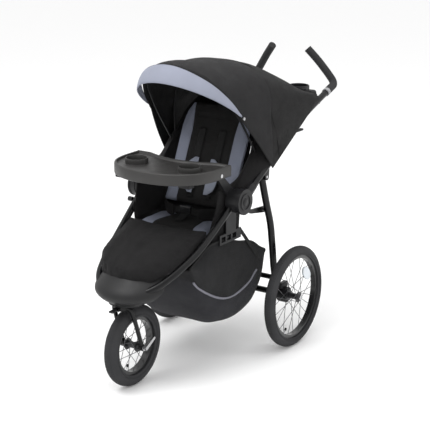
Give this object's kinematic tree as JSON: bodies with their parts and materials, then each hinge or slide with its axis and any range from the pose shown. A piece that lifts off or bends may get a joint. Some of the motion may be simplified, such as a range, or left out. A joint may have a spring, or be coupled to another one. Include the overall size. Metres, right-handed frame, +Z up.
{
  "type": "jogging stroller",
  "caption": "Three-wheeled jogging stroller with swivel front fork, spoked air tyres, folding frame, reclining seat, canopy, child tray, parent console and basket.",
  "frame": {"origin": "middle of the footprint, on the ground under the wheels", "axes": "+Z up, the stroller faces -Y, +X is the pusher's left"},
  "size_m": [0.638, 1.2858, 1.1462],
  "materials": {
    "tyre_rubber": "matt moulded tyre rubber",
    "rim_black": "satin black painted rim",
    "spoke_steel": "dark plated steel wire",
    "hub_metal": "dark anodised",
    "frame_black": "gloss black powder coat",
    "bare_steel": "bright plated steel",
    "black_plastic": "moulded satin black plastic",
    "panel_grey": "smooth dark grey moulded plastic",
    "tray_plastic": "fine textured charcoal plastic",
    "grip_foam": "textured foam grip",
    "collar_grey": "light grey moulded plastic",
    "shell_fabric": "black woven polyester",
    "canopy_fabric": "charcoal woven polyester",
    "visor_fabric": "blue-grey woven polyester",
    "webbing": "black harness webbing",
    "basket_fabric": "black coated polyester",
    "lap_plastic": "gloss black buckle plastic"
  },
  "bodies": {
    "chassis": {"front_hoop": "frame_black", "hub_housings": "black_plastic", "frame_pins": "bare_steel", "tray_arms": "black_plastic", "tray_rivets": "bare_steel", "foot_panel": "panel_grey", "steering_head": "black_plastic", "steering_spindle": "bare_steel", "footwell_cover": "shell_fabric", "seat_cushion": "shell_fabric", "seat_pan": "black_plastic", "buckle": "lap_plastic", "harness_straps": "webbing", "basket": "basket_fabric", "basket_brackets": "black_plastic"},
    "fold_lock": {"fold_lock_knob": "black_plastic"},
    "buckle_button": {"buckle_button": "lap_plastic"},
    "fork": {"fork": "frame_black", "front_axle": "bare_steel"},
    "swivel_lock": {"swivel_lock_lever": "black_plastic"},
    "quick_release": {"quick_release_lever": "bare_steel"},
    "front_wheel": {"front_tyre": "tyre_rubber", "front_rim": "rim_black", "front_hub": "hub_metal", "front_spokes": "spoke_steel"},
    "upper_frame": {"handle_tubes": "frame_black", "hub_plates": "black_plastic", "hub_covers": "black_plastic", "grips": "grip_foam", "collars": "collar_grey", "console": "black_plastic", "frame_brackets": "frame_black", "upper_pins": "bare_steel", "canopy_rear_bow": "black_plastic", "canopy_rear": "canopy_fabric"},
    "fold_triggers": {"fold_triggers": "black_plastic"},
    "canopy_mid": {"canopy_mid_bow": "black_plastic"},
    "canopy_front": {"canopy_front_bow": "black_plastic", "canopy_front": "canopy_fabric", "visor_snaps": "bare_steel"},
    "visor": {"visor": "visor_fabric"},
    "seat_back": {"seat_back_board": "black_plastic", "seat_back_pad": "shell_fabric", "shoulder_harness": "webbing"},
    "child_tray": {"child_tray": "tray_plastic"},
    "rear_frame": {"rear_legs": "frame_black", "rear_axle": "bare_steel", "rear_crossbars": "frame_black", "brake_drums": "black_plastic", "rear_fasteners": "bare_steel"},
    "brake_pedal": {"brake_pedal": "black_plastic"},
    "rear_wheel_left": {"rear_tyre_left": "tyre_rubber", "rear_rim_left": "rim_black", "rear_hub_left": "hub_metal", "rear_spokes_left": "spoke_steel"},
    "rear_wheel_right": {"rear_tyre_right": "tyre_rubber", "rear_rim_right": "rim_black", "rear_hub_right": "hub_metal", "rear_spokes_right": "spoke_steel"},
    "fold_links": {"fold_links": "frame_black"}
  },
  "joints": [
    {"name": "fold", "type": "hinge", "parent": "chassis", "child": "upper_frame", "pos_m": [0, -0.13, 0.645], "axis": [1, 0, 0], "range_deg": [0, 35]},
    {"name": "rear_leg_fold", "type": "hinge", "parent": "upper_frame", "child": "rear_frame", "pos_m": [0, 0.044, 0.7], "axis": [1, 0, 0], "range_deg": [-10.28, 0]},
    {"name": "link_swing", "type": "hinge", "parent": "chassis", "child": "fold_links", "pos_m": [0, -0.072, 0.606], "axis": [1, 0, 0], "range_deg": [0, 41.69]},
    {"name": "steer", "type": "hinge", "parent": "chassis", "child": "fork", "pos_m": [0, -0.548, 0.32], "axis": [0, 0, 1], "continuous": true},
    {"name": "front_wheel_spin", "type": "hinge", "parent": "fork", "child": "front_wheel", "pos_m": [0, -0.488, 0.152], "axis": [1, 0, 0], "continuous": true},
    {"name": "rear_wheel_left_spin", "type": "hinge", "parent": "rear_frame", "child": "rear_wheel_left", "pos_m": [0.285, 0.171, 0.2], "axis": [1, 0, 0], "continuous": true},
    {"name": "rear_wheel_right_spin", "type": "hinge", "parent": "rear_frame", "child": "rear_wheel_right", "pos_m": [-0.285, 0.171, 0.2], "axis": [1, 0, 0], "continuous": true},
    {"name": "swivel_lock_turn", "type": "hinge", "parent": "fork", "child": "swivel_lock", "pos_m": [0, -0.579, 0.3155], "axis": [1, 0, 0], "range_deg": [0, 30]},
    {"name": "quick_release_turn", "type": "hinge", "parent": "fork", "child": "quick_release", "pos_m": [0.0625, -0.488, 0.152], "axis": [0, 1, 0], "range_deg": [0, 80]},
    {"name": "recline", "type": "hinge", "parent": "upper_frame", "child": "seat_back", "pos_m": [0, -0.066, 0.56], "axis": [1, 0, 0], "range_deg": [-14, 0]},
    {"name": "canopy_open", "type": "hinge", "parent": "upper_frame", "child": "canopy_front", "pos_m": [0, 0.065, 0.746], "axis": [1, 0, 0], "range_deg": [-62, 0], "deforming": ["canopy_front", "canopy_rear"]},
    {"name": "canopy_mid_swing", "type": "hinge", "parent": "upper_frame", "child": "canopy_mid", "pos_m": [0, 0.065, 0.746], "axis": [1, 0, 0], "range_deg": [-37.3, 0]},
    {"name": "visor_flip", "type": "hinge", "parent": "canopy_front", "child": "visor", "pos_m": [0, -0.08, 0.94], "axis": [1, 0, 0], "range_deg": [-45, 0]},
    {"name": "tray_swing", "type": "hinge", "parent": "chassis", "child": "child_tray", "pos_m": [0, -0.225, 0.757], "axis": [1, 0, 0], "range_deg": [-75, 0]},
    {"name": "brake_pedal_press", "type": "hinge", "parent": "rear_frame", "child": "brake_pedal", "pos_m": [0, 0.15, 0.268], "axis": [1, 0, 0], "range_deg": [-18, 0]},
    {"name": "fold_trigger_squeeze", "type": "hinge", "parent": "upper_frame", "child": "fold_triggers", "pos_m": [0, 0.262, 0.83], "axis": [1, 0, 0], "range_deg": [0, 15], "stiffness_Nm_per_rad": 0.6, "springref_deg": -14.32},
    {"name": "fold_lock_turn", "type": "hinge", "parent": "chassis", "child": "fold_lock", "pos_m": [-0.22, -0.196, 0.6], "axis": [1, 0, 0], "range_deg": [0, 45]},
    {"name": "buckle_button_press", "type": "slide", "parent": "chassis", "child": "buckle_button", "axis": [0, 1, 0], "range_m": [0, 0.0015], "stiffness_N_per_m": 600, "springref_m": -0.002}
  ],
  "couplings": [
    {"joint": "rear_leg_fold", "follows": "fold", "ratio": -0.2923},
    {"joint": "link_swing", "follows": "fold", "ratio": 1.1898},
    {"joint": "canopy_mid_swing", "follows": "canopy_open", "ratio": 0.6}
  ]
}
